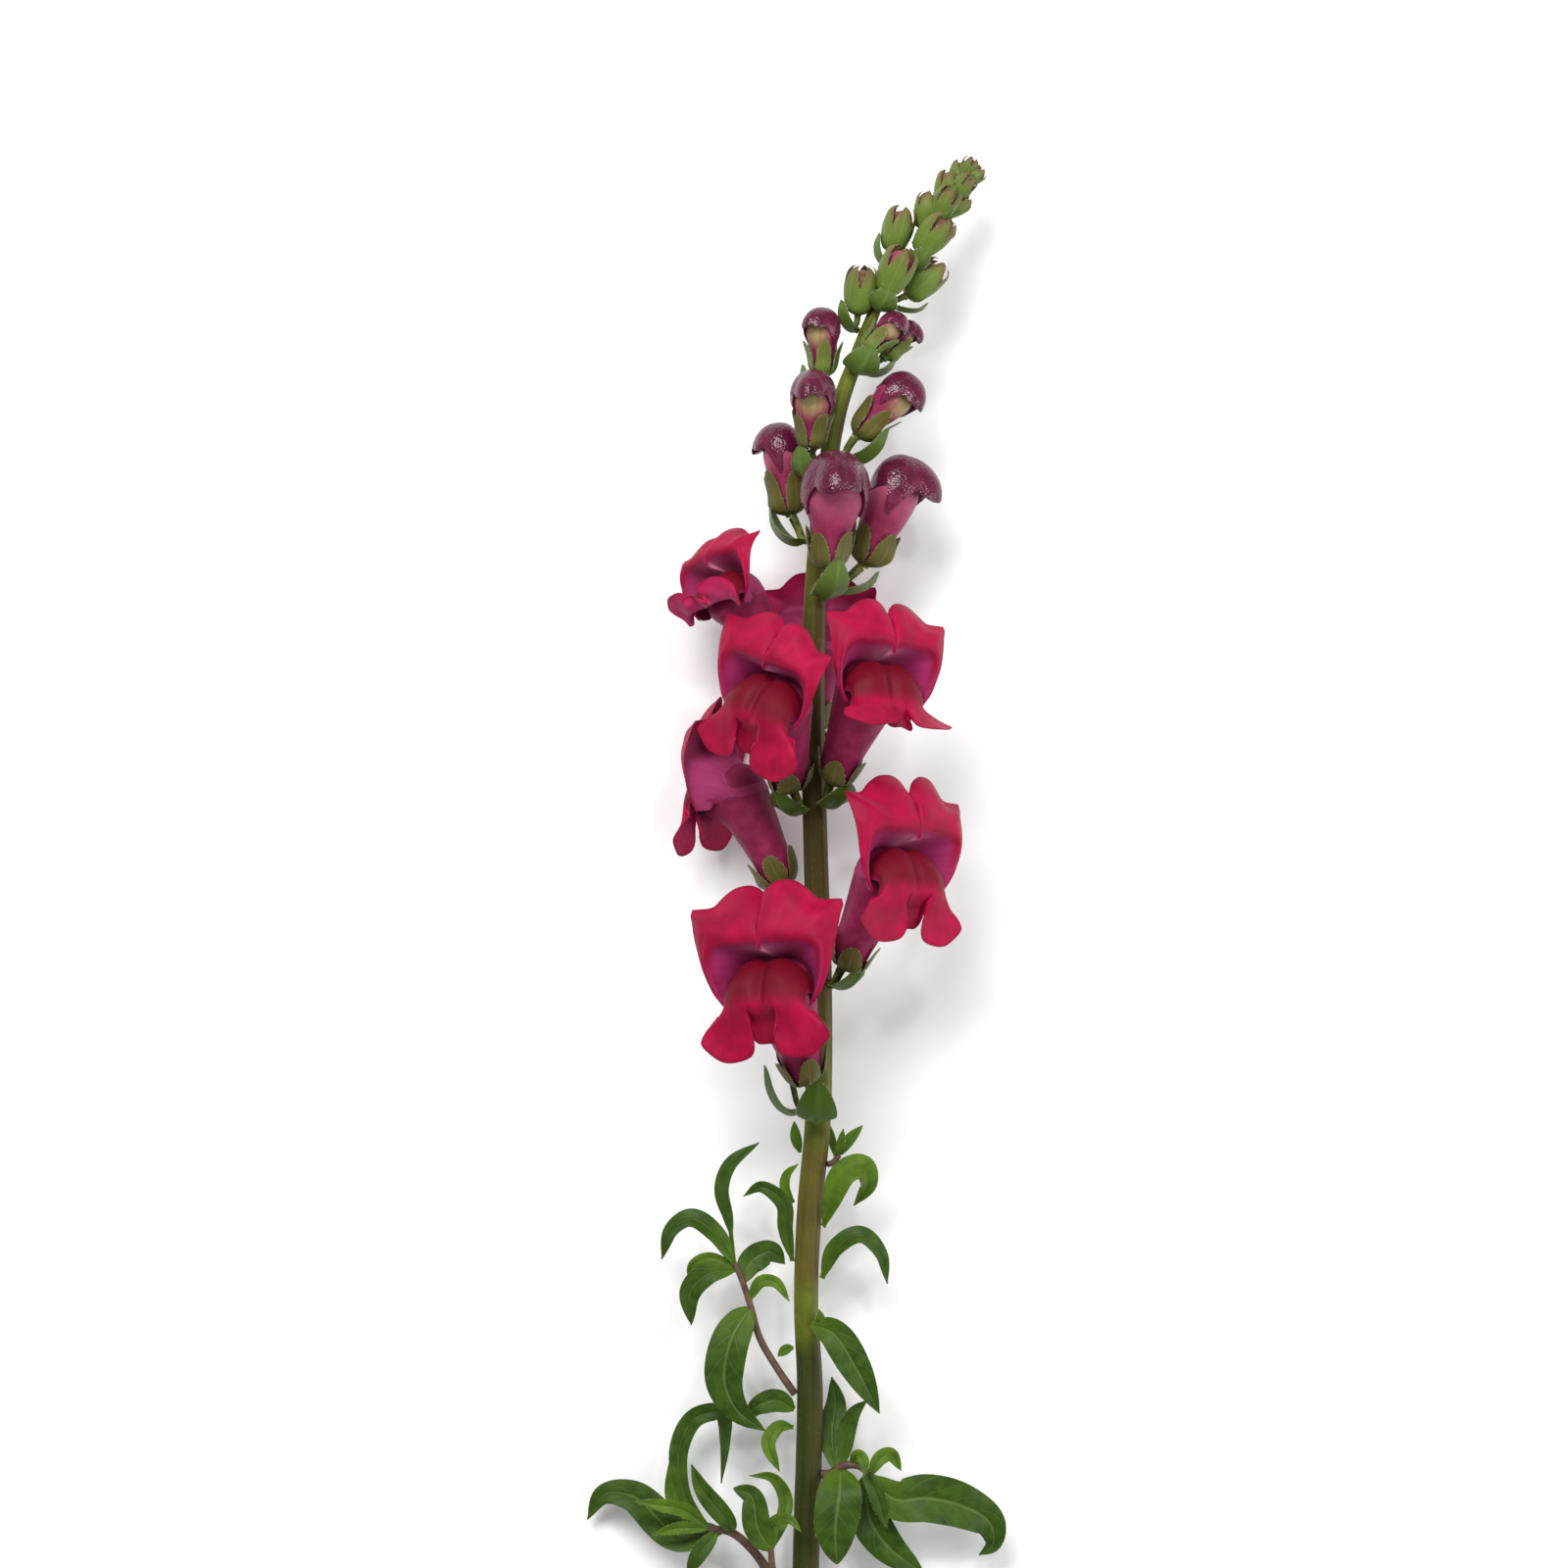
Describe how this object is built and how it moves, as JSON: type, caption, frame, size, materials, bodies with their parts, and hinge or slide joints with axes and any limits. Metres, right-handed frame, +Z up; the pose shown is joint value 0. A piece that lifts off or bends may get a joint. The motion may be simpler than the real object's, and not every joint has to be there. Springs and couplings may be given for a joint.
{
  "type": "cut snapdragon stem",
  "caption": "Cut flower stem lying flat: open two-lipped blooms, closed buds towards a curved tip, and leafy side shoots near the cut end.",
  "frame": {"origin": "bottom centre of the bounding box: the middle of the stem's outline, on the surface that it lies on", "axes": "+Y along the stem towards its budded tip, +X to the right of the stem as seen from above, +Z up from the surface"},
  "size_m": [0.1084, 0.4051, 0.0658],
  "materials": {
    "stem": "satin, finely hairy",
    "leaf": "satin",
    "bract": "matt",
    "bloom": "velvety matt",
    "bud": "semi-gloss"
  },
  "bodies": {
    "root": {"bloom_a_front_low_calyx": "bract", "bloom_a_front_low_corolla": "bloom", "bloom_b_right_low_calyx": "bract", "bloom_b_right_low_corolla": "bloom", "bloom_c_left_low_calyx": "bract", "bloom_c_left_low_corolla": "bloom", "bloom_d_left_mid_calyx": "bract", "bloom_d_left_mid_corolla": "bloom", "bloom_e_right_mid_calyx": "bract", "bloom_e_right_mid_corolla": "bloom", "bloom_f_left_top_calyx": "bract", "bloom_f_left_top_corolla": "bloom", "bloom_g_back_mid_calyx": "bract", "bloom_g_back_mid_corolla": "bloom", "bud_h_left": "bract", "bud_k_front_calyx": "bract", "bud_k_front_corolla": "bud", "bud_l_right_calyx": "bract", "bud_l_right_corolla": "bud", "bud_m_left_calyx": "bract", "bud_m_left_corolla": "bud", "bud_n_front_left_calyx": "bract", "bud_n_front_left_corolla": "bud", "bud_o_right_calyx": "bract", "bud_o_right_corolla": "bud", "bud_p_left_calyx": "bract", "bud_p_left_corolla": "bud", "bud_q_front_right_calyx": "bract", "bud_q_front_right_corolla": "bud", "bud_r_right_calyx": "bract", "bud_r_right_corolla": "bud", "bud_s_left": "bract", "bud_t_front": "bract", "bud_u_right": "bract", "bud_v_left": "bract", "bud_w_front": "bract", "buds_tip": "bract", "leaf_left_arch": "leaf", "leaf_left_broad": "leaf", "leaf_left_droop": "leaf", "leaf_left_small_high": "leaf", "leaf_left_tiny": "leaf", "leaf_left_tip": "leaf", "leaf_right_curl": "leaf", "leaf_right_front": "leaf", "leaf_right_loop": "leaf", "leaves_near_cut": "leaf", "main_stem": "stem", "shoot_left": "leaf", "shoot_left_low": "leaf", "shoot_left_low_inner": "leaf", "shoot_right": "leaf", "shoot_top_tuft": "leaf"}
  },
  "joints": []
}
